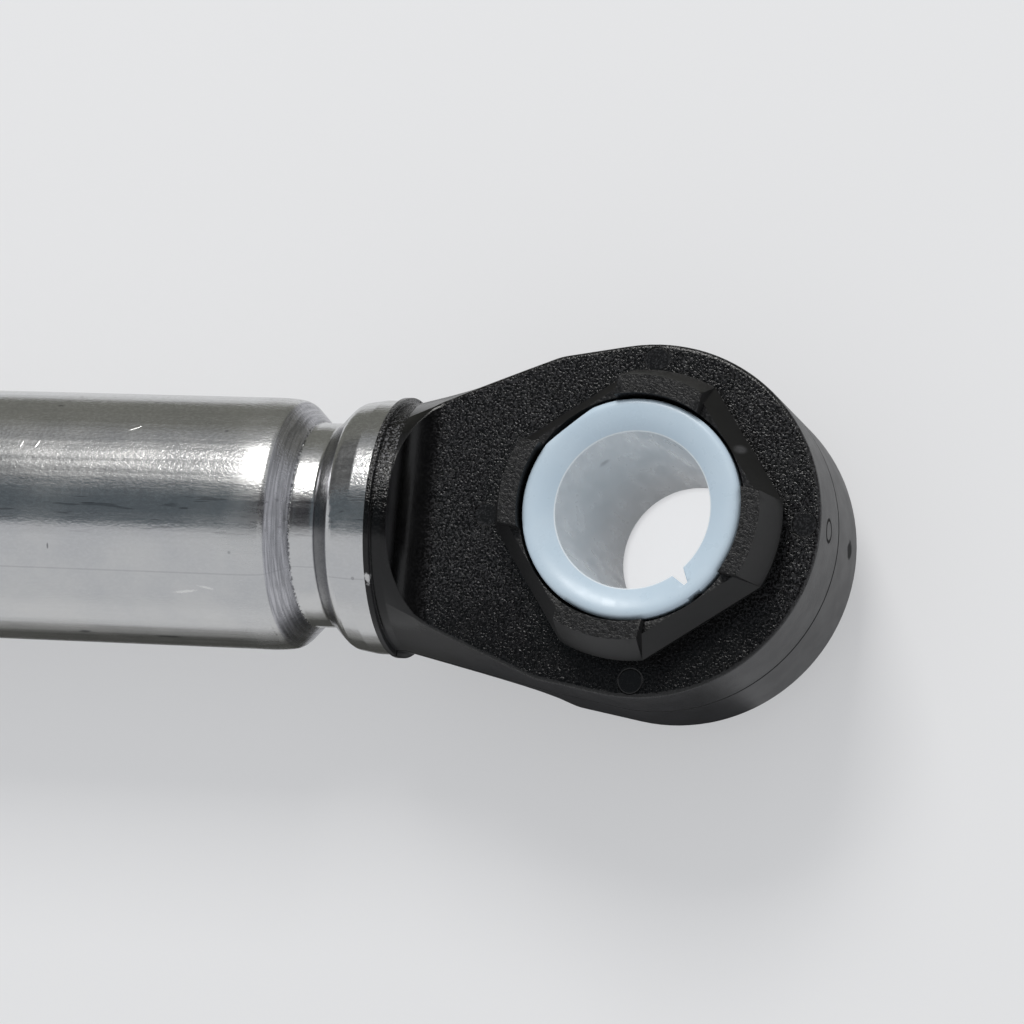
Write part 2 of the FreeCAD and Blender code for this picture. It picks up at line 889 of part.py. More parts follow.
def make_inner_guide(label):
    """The ring that guides the tappet behind the linings, held by a bead."""
    bore = TAPPET_RADIUS + sized("guide_clearance")
    section = [
        corner(INNER_GUIDE_START, bore),
        corner(INNER_GUIDE_START, PACK_RADIUS),
        *bead(INNER_BEAD_PLACE).seat(PACK_RADIUS),
        corner(INNER_GUIDE_END, PACK_RADIUS),
        corner(INNER_GUIDE_END, bore),
    ]
    body = new_body(label)
    turn(body, "Moulded", section)
    return body


def make_mouth_guide(label):
    """The end cap that guides the tappet at the mouth, with a collar on the tube's end."""
    bore = TAPPET_RADIUS + sized("guide_clearance")
    collar = sized("housing_radius")
    chamfer = sized("collar_chamfer")
    section = [
        corner(OUTER_LINING_END, bore),
        corner(OUTER_LINING_END, PACK_RADIUS),
        *bead(MOUTH_BEAD_PLACE).seat(PACK_RADIUS),
        corner(MOUTH, PACK_RADIUS),
        corner(MOUTH, collar),
        corner(COLLAR_END - chamfer, collar),
        corner(COLLAR_END, collar - chamfer),
        corner(COLLAR_END, bore + sized("lead_in")),
        corner(COLLAR_END - sized("lead_in"), bore),
    ]
    body = new_body(label)
    turn(body, "Moulded", section)
    return body


housing_radius = sized("housing_radius")
housing_wall = sized("housing_wall")
tappet_wall = sized("tappet_wall")
lining_bore = TAPPET_RADIUS + sized("lining_clearance")
ring_bore = TAPPET_RADIUS - sized("ring_groove_depth") + sized("ring_clearance")
butt_gap = sized("butt_gap_angle")

housing_grooves = [
    crimp(housing_radius, housing_wall),
    bead(INNER_BEAD_PLACE),
    bead(MOUTH_BEAD_PLACE),
]
tappet_grooves = [crimp(TAPPET_RADIUS, tappet_wall), stop_ring_groove()]

housing_pieces = [
    make_tube("housing_tube", housing_radius, housing_wall, MOUTH, housing_grooves),
    make_eye("housing_eye", housing_radius, housing_wall),
    make_buffer("stop_buffer"),
    make_inner_guide("inner_guide"),
    make_ring(
        "friction_lining_inner",
        INNER_GUIDE_END,
        INNER_LINING_END,
        lining_bore,
        PACK_RADIUS,
        gap_angle=butt_gap,
    ),
    make_ring(
        "lining_spacer",
        INNER_LINING_END,
        SPACER_END,
        TAPPET_RADIUS + sized("spacer_clearance"),
        PACK_RADIUS,
    ),
    make_ring(
        "friction_lining_outer",
        SPACER_END,
        OUTER_LINING_END,
        lining_bore,
        PACK_RADIUS,
        gap_angle=butt_gap,
    ),
    make_mouth_guide("mouth_guide"),
    make_ring(
        "stop_ring",
        RING_PLACE - RING_HALF_WIDTH,
        RING_PLACE + RING_HALF_WIDTH,
        ring_bore,
        HOUSING_BORE - sized("ring_bore_clearance"),
        sized("ring_chamfer"),
        butt_gap,
    ),
]
tappet_pieces = [
    make_tube(
        "tappet_tube",
        TAPPET_RADIUS,
        tappet_wall,
        sized("eye_spacing") - TAPPET_END,
        tappet_grooves,
    ),
    make_eye("tappet_eye", TAPPET_RADIUS, tappet_wall),
]
housing_bush = make_bush("housing_rubber_bush")
housing_sleeve = make_sleeve("housing_sleeve")
tappet_bush = make_bush("tappet_rubber_bush")
tappet_sleeve = make_sleeve("tappet_sleeve")


# Placing


def place(body, at_tappet_eye, angle):
    """Turn a piece about Z and move it to its eye."""
    turning = FreeCAD.Rotation(FreeCAD.Vector(0, 0, 1), angle)
    body.Placement = FreeCAD.Placement(FreeCAD.Vector(), turning)
    if at_tappet_eye:
        bind(body, "Placement.Base.x", -sized("eye_spacing"))


HALF_TURN = FULL_TURN / 2
for piece in housing_pieces:
    place(piece, False, HALF_TURN)
for piece in tappet_pieces:
    place(piece, True, 0.0)
place(housing_bush, False, sized("bush_clock").value)
place(housing_sleeve, False, sized("sleeve_clock").value)
place(tappet_bush, True, sized("bush_clock").value + HALF_TURN)
place(tappet_sleeve, True, sized("sleeve_clock").value + HALF_TURN)
doc.recompute()


# Checks and files

for item in doc.Objects:
    if "Invalid" in item.State or "Error" in item.State:
        raise RuntimeError(f"{item.Label} did not rebuild: {item.State}")

pieces = housing_pieces + tappet_pieces
pieces += [housing_bush, housing_sleeve, tappet_bush, tappet_sleeve]
os.makedirs("parts", exist_ok=True)
for piece in pieces:
    shape = piece.Shape
    if shape.isNull() or not shape.isValid() or len(shape.Solids) != 1:
        raise RuntimeError(f"{piece.Label} has no single valid solid")
for piece in pieces:
    piece.Shape.exportStep(f"parts/{piece.Label}.step")
    print(piece.Label, round(piece.Shape.Volume, 3))
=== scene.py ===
import functools
import json
import math

import bmesh
import bpy
from mathutils import Matrix, Vector


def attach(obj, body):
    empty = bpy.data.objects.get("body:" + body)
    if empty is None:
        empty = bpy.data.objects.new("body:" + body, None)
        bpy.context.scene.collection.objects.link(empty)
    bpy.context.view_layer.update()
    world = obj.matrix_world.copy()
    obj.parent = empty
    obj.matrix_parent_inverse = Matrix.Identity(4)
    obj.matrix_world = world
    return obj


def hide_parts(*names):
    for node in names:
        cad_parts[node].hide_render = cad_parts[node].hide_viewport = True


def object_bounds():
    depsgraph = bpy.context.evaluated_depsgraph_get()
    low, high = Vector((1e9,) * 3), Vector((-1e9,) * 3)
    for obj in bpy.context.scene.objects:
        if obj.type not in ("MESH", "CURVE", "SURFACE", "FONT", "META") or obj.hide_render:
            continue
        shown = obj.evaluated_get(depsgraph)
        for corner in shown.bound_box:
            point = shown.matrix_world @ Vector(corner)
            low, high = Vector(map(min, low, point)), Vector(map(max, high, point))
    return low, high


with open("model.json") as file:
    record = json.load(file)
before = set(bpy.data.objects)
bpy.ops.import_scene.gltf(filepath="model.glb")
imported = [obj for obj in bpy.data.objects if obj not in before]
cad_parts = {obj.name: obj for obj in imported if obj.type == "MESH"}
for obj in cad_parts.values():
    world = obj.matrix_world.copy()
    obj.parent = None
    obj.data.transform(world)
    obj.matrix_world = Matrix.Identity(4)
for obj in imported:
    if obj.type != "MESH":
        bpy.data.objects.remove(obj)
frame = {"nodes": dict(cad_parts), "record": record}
cad_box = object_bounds()

MM = 0.001
scene = bpy.context.scene
scene.view_settings.view_transform = "Standard"

# Places that the record and the solids give, in metres
MOUNTS = {mount["name"]: mount for mount in frame["record"]["mounts"]}
HOUSING_BORE = MOUNTS["housing_eye_bore"]
HOUSING_EYE_X = HOUSING_BORE["pos_m"][0]
TAPPET_EYE_X = MOUNTS["tappet_eye_bore"]["pos_m"][0]
MIDDLE_X = (HOUSING_EYE_X + TAPPET_EYE_X) / 2
PIN_RADIUS = HOUSING_BORE["dims"]["r_mm"] * MM
BORE_HALF = HOUSING_BORE["dims"]["length_mm"] / 2 * MM
FLOOR_Z = cad_box[0].z

# Places along the housing's end, in metres; the tappet's end has the same
CREST_FROM = -39.0 * MM
SCORED_FROM = -35.55 * MM
SCORED_TO = -33.65 * MM
GROOVE_FLOOR_TO = -31.3 * MM
GROOVE_TO = -29.5 * MM
COLLAR_X = -23.5 * MM
HOLLOW_TO = -20.4 * MM
HEAD_X = -12.0 * MM


# Node trees


class Tree:
    """A short way to add and link shader nodes."""

    def __init__(self, owner):
        owner.use_nodes = True
        self.tree = owner.node_tree
        self.tree.nodes.clear()

    def add(self, kind, settings=None, **inputs):
        """Add a node; inputs are numbers, colours or sockets, named with underscores."""
        node = self.tree.nodes.new("ShaderNode" + kind)
        for name, value in (settings or {}).items():
            setattr(node, name, value)
        for name, value in inputs.items():
            self.feed(node, name.replace("_", " "), value)
        return node

    def feed(self, node, name, value):
        """Link a socket to an input, or set the input to a plain value."""
        socket = node.inputs[name]
        if isinstance(value, bpy.types.NodeSocket):
            self.tree.links.new(value, socket)
        else:
            socket.default_value = value

    def math(self, operation, *values):
        node = self.add("Math", {"operation": operation})
        for index, value in enumerate(values):
            self.feed(node, index, value)
        return node.outputs[0]

    def product(self, *values):
        return functools.reduce(lambda one, other: self.math("MULTIPLY", one, other), values)

    def most(self, *values):
        return functools.reduce(lambda one, other: self.math("MAXIMUM", one, other), values)

    def total(self, *values):
        return functools.reduce(lambda one, other: self.math("ADD", one, other), values)

    def size(self, value):
        return self.math("ABSOLUTE", value)

    def gap(self, value, target):
        return self.size(self.math("SUBTRACT", value, target))

    def without(self, value, mask):
        """A value where a mask is not."""
        return self.product(value, self.math("SUBTRACT", 1.0, mask))

    def ramp(self, value, low, high, out_low=0.0, out_high=1.0):
        """Map a value smoothly from one range to another."""
        node = self.add("MapRange", {"interpolation_type": "SMOOTHSTEP"}, Value=value)
        names = ("From Min", "From Max", "To Min", "To Max")
        for name, number in zip(names, (low, high, out_low, out_high)):
            self.feed(node, name, number)
        return node.outputs["Result"]

    def below(self, value, limit, soft):
        return self.ramp(value, limit - soft, limit + soft, 1.0, 0.0)

    def above(self, value, limit, soft):
        return self.ramp(value, limit - soft, limit + soft)

    def band(self, value, low, low_soft, high, high_soft):
        """One between two limits, each with its own softness."""
        return self.product(self.above(value, low, low_soft), self.below(value, high, high_soft))

    def blend(self, share, one, other):
        """Mix two colours."""
        node = self.add("Mix", {"data_type": "RGBA"}, Factor=share)
        for index, value in ((6, one), (7, other)):
            self.feed(node, index, value)
        return node.outputs[2]

    def layered(self, colour, layers):
        """Lay colours over a colour, each where its mask is and by its share."""
        for mask, share, over in layers:
            colour = self.blend(self.product(mask, share), colour, over)
        return colour

    def place(self):
        """The position on the piece, which moves with it."""
        return self.add("TexCoord").outputs["Object"]

    def level(self):
        """How far the surface looks along the piece's own Z, up or down: one on the eyes' faces."""
        return self.size(self.split(self.add("TexCoord").outputs["Normal"])[2])

    def folded(self):
        """The position with the tappet's end folded onto the housing's end."""
        x, y, z = self.split(self.place())
        return self.math("ADD", self.gap(x, MIDDLE_X), MIDDLE_X), y, z

    def split(self, vector):
        return self.add("SeparateXYZ", Vector=vector).outputs

    def join(self, x=0.0, y=0.0, z=0.0):
        return self.add("CombineXYZ", X=x, Y=y, Z=z).outputs["Vector"]

    def distance(self, *offsets):
        node = self.add("VectorMath", {"operation": "LENGTH"}, Vector=self.join(*offsets))
        return node.outputs["Value"]

    def stretch(self, vector, scale):
        return self.add("Mapping", Vector=vector, Scale=scale).outputs["Vector"]

    def noise(self, vector, scale, detail=2.0, roughness=0.5, distortion=0.0):
        node = self.add("TexNoise", Vector=vector, Scale=scale, Detail=detail, Roughness=roughness)
        self.feed(node, "Distortion", distortion)
        return node.outputs["Fac"]

    def cells(self, vector, scale):
        """Distance to the nearest of scattered points, and a number for each point."""
        node = self.add("TexVoronoi", Vector=vector, Scale=scale)
        return node.outputs["Distance"], self.split(node.outputs["Color"])[0]

    def bump(self, height, depth, under=None):
        node = self.add("Bump", Height=height, Distance=depth, Strength=1.0)
        if under is not None:
            self.feed(node, "Normal", under)
        return node.outputs["Normal"]

    def principled(self, **inputs):
        shader = self.add("BsdfPrincipled", None, **inputs)
        self.add("OutputMaterial", Surface=shader.outputs["BSDF"])


def new_material(name):
    material = bpy.data.materials.new(name)
    return material, Tree(material)


def grey(value):
    """A grey with a trace of blue."""
    return (value, value, value * 1.05, 1.0)


# Steel

TUBE_RADIUS = 12.0 * MM
# Angles about X of the side with more wear and with painted glints
WEAR_GLINT_FROM = math.radians(-22.0)
WEAR_GLINT_TO = math.radians(8.0)
SCRATCHED_MIDDLE = math.radians(-5.0)
SCRATCHED_HALF = math.radians(11.0)
SCRATCHED_SOFT = math.radians(5.0)
SEAM_ANGLE = math.radians(-35.0)
SEAM_HALF = math.radians(0.35)
SEAM_SOFT = math.radians(0.25)

STEEL_DULL = (0.565, 0.57, 0.575, 1.0)
STEEL_PALE = (0.625, 0.625, 0.62, 1.0)
STEEL_WEAR_GLINT = (0.80, 0.81, 0.815, 1.0)
SCORE_DARK = (0.29, 0.292, 0.31, 1.0)
SCORE_PALE = (0.52, 0.52, 0.55, 1.0)
GROOVE_WALL_SHADE = (0.22, 0.22, 0.225, 1.0)
DARK_MARK = (0.14, 0.14, 0.15, 1.0)
BURR_SHADE = (0.10, 0.10, 0.11, 1.0)
BRIGHT_MARK_AND_GLINT = (0.86, 0.86, 0.84, 1.0)

# Nicks and smears of the housing tube, with two painted glints among the bright ones: place
# along X in mm, angle about X from the top in degrees, length and width in mm, slant in degrees
BRIGHT_MARKS_AND_GLINTS = (
    (-49.7, 34.4, 0.75, 0.07, 28.0),
    # These two marks are painted glints in the tube's highlight
    (-59.0, 23.5, 0.45, 0.09, 70.0),
    (-60.6, 23.0, 0.40, 0.08, 75.0),
    (-43.6, -44.5, 1.30, 0.16, 8.0),
    (-41.4, -42.0, 0.90, 0.12, -12.0),
)
DARK_MARKS = (
    (-49.1, 57.0, 0.35, 0.10, 40.0),
    (-58.4, 50.5, 0.40, 0.12, 0.0),
    (-43.3, -5.5, 0.50, 0.08, 0.0),
    (-52.8, -4.5, 0.90, 0.07, 0.0),
    (-56.9, -24.5, 0.10, 0.30, 0.0),
    (-55.5, -76.0, 0.70, 0.30, 5.0),
    (-47.0, -78.0, 1.40, 0.25, 0.0),
)
MARK_REACH = 1.3
MARK_SOFT = 0.35


def tube_marks(tree, marks):
    """Where short marks with ragged ends lie on the housing tube."""
    x, y, z = tree.split(tree.place())
    arc = tree.product(tree.math("ARCTAN2", y, z), TUBE_RADIUS)
    ragged = tree.noise(tree.place(), scale=2600.0, roughness=0.6)
    masks = []
    for mark_x, angle, length, width, slant in marks:
        along = tree.math("SUBTRACT", x, mark_x * MM)
        across = tree.math("SUBTRACT", arc, math.radians(angle) * TUBE_RADIUS)
        tilt_cos = math.cos(math.radians(slant))
        tilt_sin = math.sin(math.radians(slant))
        ahead = tree.total(tree.product(along, tilt_cos), tree.product(across, tilt_sin))
        aside = tree.total(tree.product(across, tilt_cos), tree.product(along, -tilt_sin))
        lengths = tree.math("DIVIDE", ahead, length * MM)
        widths = tree.math("DIVIDE", aside, width * MM)
        reach = tree.total(tree.distance(lengths, widths), ragged)
        masks.append(tree.below(reach, MARK_REACH, MARK_SOFT))
    return tree.most(*masks)


class SteelSkin:
    """Drawn steel with more wear on its +Y side, where pale grains are also painted glints, and with
    scores round the wall of the rolled groove.
    """

    def __init__(self, tree):
        self.tree = tree
        self.x, y, z = tree.folded()
        self.place = tree.join(self.x, y, z)
        self.turn = tree.math("ARCTAN2", y, z)
        self.wear_and_glint = tree.ramp(self.turn, WEAR_GLINT_FROM, WEAR_GLINT_TO, out_low=0.22)
        self.streaks = self.drawn(0.02, scale=1900.0, detail=4.0, roughness=0.65)
        self.grain = self.drawn(0.6, scale=4300.0, roughness=0.6)
        self.cloud = tree.noise(self.place, scale=150.0, detail=3.0, roughness=0.6)
        self.scored = tree.band(self.x, SCORED_FROM, 0.08 * MM, SCORED_TO, 0.05 * MM)
        rolled = tree.stretch(self.place, (1.0, 0.03, 0.03))
        self.scores = tree.noise(rolled, scale=6500.0, detail=3.0, roughness=0.65)
        self.burr = self.burr_line()
        self.bright_and_glints = tube_marks(tree, BRIGHT_MARKS_AND_GLINTS)

    def drawn(self, share, **texture):
        """Noise drawn out along the tube."""
        return self.tree.noise(self.tree.stretch(self.place, (share, 1.0, 1.0)), **texture)

    def burr_line(self):
        """The ragged edge where the roll left the wall of the groove."""
        tree = self.tree
        edge = tree.below(tree.gap(self.x, SCORED_TO), 0.10 * MM, 0.05 * MM)
        ragged = tree.noise(self.place, scale=3800.0, detail=1.0)
        return tree.product(edge, tree.above(ragged, 0.52, 0.06))

    def dark(self):
        """Specks, short scratches, the tube's weld seam and the dark nicks."""
        tree = self.tree
        distance, number = tree.cells(self.place, scale=420.0)
        specks = tree.product(tree.below(distance, 0.07, 0.03), tree.above(number, 0.72, 0.02))
        dashes = tree.above(self.drawn(0.10, scale=2300.0), 0.66, 0.03)
        from_middle = tree.gap(self.turn, SCRATCHED_MIDDLE)
        scratched = tree.below(from_middle, SCRATCHED_HALF, SCRATCHED_SOFT)
        seam = tree.below(tree.gap(self.turn, SEAM_ANGLE), SEAM_HALF, SEAM_SOFT)
        return tree.most(
            tree.product(specks, 0.6),
            tree.product(dashes, scratched, 0.55),
            tree.product(seam, 0.22),
            tube_marks(tree, DARK_MARKS),
        )

    def colour(self):
        tree = self.tree
        plain = tree.blend(tree.ramp(self.cloud, 0.3, 0.7), STEEL_DULL, STEEL_PALE)
        wear_glint_grain = tree.product(tree.ramp(self.grain, 0.40, 0.68), self.wear_and_glint)
        score_colour = tree.blend(tree.ramp(self.scores, 0.35, 0.65), SCORE_DARK, SCORE_PALE)
        # Painted dark reflection on the groove's wall towards the eye
        shaded_groove_wall = tree.band(self.x, GROOVE_FLOOR_TO, 0.12 * MM, GROOVE_TO, 0.08 * MM)
        layers = (
            # Painted glints on worn steel: pale grains over the +Y side
            (wear_glint_grain, 0.42, STEEL_WEAR_GLINT),
            (self.scored, 1.0, score_colour),
            (shaded_groove_wall, 0.8, GROOVE_WALL_SHADE),
            (self.dark(), 0.75, DARK_MARK),
            (self.burr, 0.7, BURR_SHADE),
            # Bright nicks and smears, and two painted glints
            (self.bright_and_glints, 0.7, BRIGHT_MARK_AND_GLINT),
        )
        return tree.layered(plain, layers)

    def roughness(self):
        tree = self.tree
        crest = tree.band(self.x, CREST_FROM, MM, SCORED_FROM, 0.3 * MM)
        return tree.total(
            tree.ramp(self.streaks, 0.3, 0.7, out_low=0.15, out_high=0.23),
            tree.product(tree.ramp(self.cloud, 0.35, 0.7), 0.05),
            tree.product(self.scored, 0.06),
            tree.product(self.bright_and_glints, 0.15),
            tree.product(crest, 0.05),
        )

    def normal(self):
        """Fine relief, and a groove floor that falls towards the eye."""
        tree = self.tree
        fall = tree.ramp(self.x, SCORED_TO, GROOVE_FLOOR_TO, out_low=1.0, out_high=0.0)
        scratches = self.drawn(0.10, scale=5200.0, detail=3.0, roughness=0.6)
        normal = tree.bump(fall, depth=0.29 * MM)
        normal = tree.bump(self.streaks, depth=0.0030 * MM, under=normal)
        normal = tree.bump(scratches, depth=0.0022 * MM, under=normal)
        normal = tree.bump(tree.product(self.grain, self.wear_and_glint), depth=0.019 * MM, under=normal)
        normal = tree.bump(tree.product(self.scores, self.scored), depth=0.012 * MM, under=normal)
        return tree.bump(tree.most(self.burr, self.bright_and_glints), depth=0.015 * MM, under=normal)


def steel():
    material, tree = new_material("tube_steel_drawn")
    skin = SteelSkin(tree)
    tree.principled(
        Base_Color=skin.colour(),
        Metallic=1.0,
        Roughness=skin.roughness(),
        Normal=skin.normal(),
    )
    return material


# Plastic of the eyes

PIN_MARK_PLACE = 15.0 * MM
PIN_MARK_RADIUS = 1.15 * MM
PIN_MARK_EDGE = 0.05 * MM
PARTING_Z = 0.3 * MM
LINE_HALF = 0.14 * MM
LINE_SOFT = 0.06 * MM
GATE_Y = 0.2 * MM
GATE_Z = 4.4 * MM
GATE_RADIUS = 1.0 * MM
SCUFF_Y = 0.2 * MM
SCUFF_Z = -4.6 * MM
SCUFF_REACH = 1.3 * MM
SCUFF_FROM_X = 12.0 * MM
CHIP_X = -25.2 * MM
CHIP_Y = -6.85 * MM
CHIP_Z = 10.2 * MM
CHIP_REACH = 0.70 * MM
CHIP_SQUEEZE = 0.55
RAGGED_EDGE = 0.9 * MM
COLLAR_HIGHLIGHT_Y = 5.5 * MM
COLLAR_HIGHLIGHT_HALF = 3.5 * MM
SHADED_TO_Y = -12.0 * MM
SHADED_FROM_Y = -5.0 * MM
SOFT_CORNER = 0.18 * MM
CHIP_COLOUR = (0.62, 0.62, 0.62, 1.0)


class EyeSkin:
    """Black moulded plastic, spark-eroded on the faces and on the +Y side of the collar."""

    def __init__(self, tree):
        self.tree = tree
        self.x, self.y, self.z = tree.folded()
        place = tree.join(self.x, self.y, self.z)
        self.grains = tree.noise(place, scale=4500.0, detail=1.0, distortion=0.7)
        self.pits = tree.noise(place, scale=6400.0, detail=1.0)
        self.cloud = tree.noise(place, scale=420.0, roughness=0.6)
        self.face = tree.ramp(tree.level(), 0.30, 0.55)
        self.rim = tree.without(tree.above(self.x, HEAD_X, 2.0 * MM), self.face)
        y_side = tree.above(self.y, -1.0 * MM, 2.5 * MM)
        self.collar = tree.product(tree.below(self.x, COLLAR_X, 0.1 * MM), y_side)
        self.textured = tree.most(self.face, self.collar)
        # Painted shade: the eroded skin and its painted grain light fade out in the hollow
        out_of_hollow_shade = tree.ramp(self.x, HOLLOW_TO - 0.9 * MM, HOLLOW_TO + 0.9 * MM, out_low=0.12)
        self.eroded = tree.product(self.face, out_of_hollow_shade)
        self.marks, self.mark_edges = self.pin_marks()
        self.parting, self.gate = self.mould_lines()
        self.scuff, self.chip = self.damage()
        self.lines = tree.most(self.parting, self.gate, tree.product(self.scuff, 0.8))

    def pin_marks(self):
        """Round marks of the ejector pins, a quarter turn apart on the faces, and their edges."""
        tree = self.tree
        on_x = tree.distance(tree.gap(tree.size(self.x), PIN_MARK_PLACE), self.y)
        on_y = tree.distance(self.x, tree.gap(tree.size(self.y), PIN_MARK_PLACE))
        from_mark = tree.math("MINIMUM", on_x, on_y)
        marks = tree.below(from_mark, PIN_MARK_RADIUS, PIN_MARK_EDGE)
        edges = tree.below(tree.gap(from_mark, PIN_MARK_RADIUS), PIN_MARK_EDGE, PIN_MARK_EDGE)
        return tree.product(self.face, marks), tree.product(self.face, edges)

    def mould_lines(self):
        """The parting line round the rim, and the ring of the gate above it."""
        tree = self.tree
        parting = tree.below(tree.gap(self.z, PARTING_Z), LINE_HALF, LINE_SOFT)
        from_gate = tree.distance(tree.gap(self.y, GATE_Y), tree.gap(self.z, GATE_Z))
        ring = tree.below(tree.gap(from_gate, GATE_RADIUS), LINE_HALF, LINE_SOFT)
        gate = tree.product(self.rim, tree.above(self.x, 0.0, MM), ring)
        return tree.without(parting, self.face), gate

    def damage(self):
        """A scuff on the rim and a pale chip at the flange, both on the housing's eye only."""
        tree = self.tree
        x, y, z = tree.split(tree.place())
        noise = tree.noise(tree.place(), scale=1500.0, detail=3.0, roughness=0.6)
        ragged = tree.product(noise, RAGGED_EDGE)
        from_scuff = tree.distance(tree.gap(y, SCUFF_Y), tree.gap(z, SCUFF_Z))
        scuff = tree.below(tree.total(from_scuff, ragged), SCUFF_REACH, 0.2 * MM)
        from_chip = tree.distance(
            tree.gap(x, CHIP_X),
            tree.product(tree.gap(y, CHIP_Y), CHIP_SQUEEZE),
            tree.product(tree.gap(z, CHIP_Z), CHIP_SQUEEZE),
        )
        chip = tree.below(tree.total(from_chip, ragged), CHIP_REACH, 0.08 * MM)
        return tree.product(scuff, tree.above(x, SCUFF_FROM_X, MM)), chip

    def colour(self):
        tree = self.tree
        # Painted light: the pale grains on the eroded faces are painted highlights, and shade darkens
        # them towards -Y as painted shade
        shade = tree.ramp(self.y, SHADED_TO_Y, SHADED_FROM_Y, out_low=0.35)
        pale = tree.product(tree.ramp(self.grains, 0.40, 0.72), shade, self.eroded)
        pale = tree.most(pale, tree.product(self.marks, 0.2))
        face_colour = tree.blend(pale, grey(0.0015), grey(0.038))
        # Painted highlight: pale grains in a band on the +Y side of the collar
        painted_collar_highlight = tree.product(self.collar, tree.below(tree.gap(self.y, COLLAR_HIGHLIGHT_Y), COLLAR_HIGHLIGHT_HALF, 2.0 * MM))
        # Painted light: the smooth sides get a lighter grey than the faces of the same plastic
        side_colour = tree.blend(self.cloud, grey(0.024), grey(0.036))
        layers = (
            (painted_collar_highlight, tree.ramp(self.grains, 0.48, 0.74), grey(0.17)),
            (tree.without(1.0, self.textured), 1.0, side_colour),
            (self.lines, 1.0, grey(0.001)),
            (self.chip, 1.0, CHIP_COLOUR),
        )
        return tree.layered(face_colour, layers)

    def roughness(self):
        tree = self.tree
        return tree.total(
            tree.ramp(self.textured, 0.0, 1.0, out_low=0.42, out_high=0.18),
            tree.ramp(self.cloud, 0.3, 0.7, out_low=-0.03, out_high=0.03),
            tree.product(self.lines, 0.55),
            tree.product(self.collar, -0.05),
        )

    def normal(self):
        """The eroded skin and the mould's lines over softened corners."""
        tree = self.tree
        upper_rim = tree.product(self.rim, tree.above(self.z, 0.2 * MM, 0.1 * MM))
        skin = tree.most(
            tree.product(self.eroded, 0.62),
            tree.product(upper_rim, 0.30),
            tree.product(self.collar, 1.2),
        )
        skin = tree.without(skin, self.marks)
        lines = tree.most(self.mark_edges, self.parting, self.gate)
        normal = tree.add("Bevel", {"samples": 6}, Radius=SOFT_CORNER).outputs["Normal"]
        normal = tree.bump(tree.product(self.grains, skin), depth=0.080 * MM, under=normal)
        normal = tree.bump(tree.product(self.pits, skin), depth=0.012 * MM, under=normal)
        return tree.bump(lines, depth=-0.09 * MM, under=normal)


def eye_plastic():
    material, tree = new_material("eye_plastic_textured")
    skin = EyeSkin(tree)
    tree.principled(
        Base_Color=skin.colour(),
        Roughness=skin.roughness(),
        Normal=skin.normal(),
        Specular_IOR_Level=0.40,
    )
    return material


# Rubber

SEGMENT_TOP = 12.6 * MM
SPRUE_X = 9.4 * MM
SPRUE_Y = 6.0 * MM
SPRUE_RADIUS = 0.40 * MM
SPRUE_SOFT = 0.20 * MM


def sprue_spot(tree, x, y, z):
    """The paler spot where the rubber was fed in, on the upper end of the bush."""
    distance = tree.distance(tree.gap(x, SPRUE_X), tree.gap(y, SPRUE_Y))
    return tree.product(tree.below(distance, SPRUE_RADIUS, SPRUE_SOFT), tree.above(z, 0.0, MM))


def bush_rubber():
    """Black rubber with grainy tops and smooth sides."""
    material, tree = new_material("bush_rubber_moulded")
    x, y, z = tree.folded()
    place = tree.join(x, y, z)
    high = tree.above(tree.size(z), SEGMENT_TOP - 0.2 * MM, 0.1 * MM)
    tops = tree.product(tree.above(tree.level(), 0.93, 0.03), high)
    grains = tree.noise(place, scale=3400.0, roughness=0.6, distortion=0.8)
    cloud = tree.noise(place, scale=500.0, detail=3.0, roughness=0.6)
    sides = tree.blend(tree.ramp(cloud, 0.3, 0.7), grey(0.0045), grey(0.0075))
    layers = (
        (tops, 1.0, tree.blend(tree.ramp(grains, 0.35, 0.7), grey(0.004), grey(0.022))),
        (sprue_spot(tree, x, y, z), tree.ramp(grains, 0.2, 0.6, out_low=0.4), grey(0.06)),
    )
    normal = tree.bump(tree.product(grains, tops), depth=0.08 * MM)
    tree.principled(
        Base_Color=tree.layered(sides, layers),
        Roughness=tree.ramp(tops, 0.0, 1.0, out_low=0.46, out_high=0.38),
        Normal=tree.bump(cloud, depth=0.012 * MM, under=normal),
        Specular_IOR_Level=0.40,
    )
    return material


def plain_rubber():
    material, tree = new_material("buffer_rubber_moulded")
    grains = tree.noise(tree.place(), scale=5200.0)
    colour = tree.blend(tree.ramp(grains, 0.3, 0.7), grey(0.014), grey(0.022))
    tree.principled(Base_Color=colour, Roughness=0.55, Normal=tree.bump(grains, depth=0.02 * MM))
    return material


# Plastic of the sleeves

LIP_BLUE = (0.555, 0.675, 0.775, 1.0)
LIP_PALE = (0.585, 0.70, 0.795, 1.0)
PAINTED_LIGHT_BORE_FAR = (0.97, 0.97, 0.975, 1.0)
PAINTED_LIGHT_BORE_NEAR = (0.76, 0.82, 0.86, 1.0)
BORE_EDGE_HIGHLIGHT = (0.80, 0.855, 0.89, 1.0)
SMUDGE = (0.22, 0.25, 0.28, 1.0)
SMUDGE_PLACE = (-4.7 * MM, 5.5 * MM, 6.2 * MM)


def bore_masks(tree):
    """The wall of the pin bore, and the thin edge where it meets the lip, which carries a painted
    highlight.
    """
    x, y, z = tree.folded()
    radius = tree.distance(x, y)
    wall = tree.below(radius, PIN_RADIUS + 0.02 * MM, 0.02 * MM)
    edge = tree.below(tree.gap(radius, PIN_RADIUS + 0.06 * MM), 0.04 * MM, 0.03 * MM)
    return wall, tree.product(edge, tree.above(tree.size(z), BORE_HALF - 0.25 * MM, 0.1 * MM))


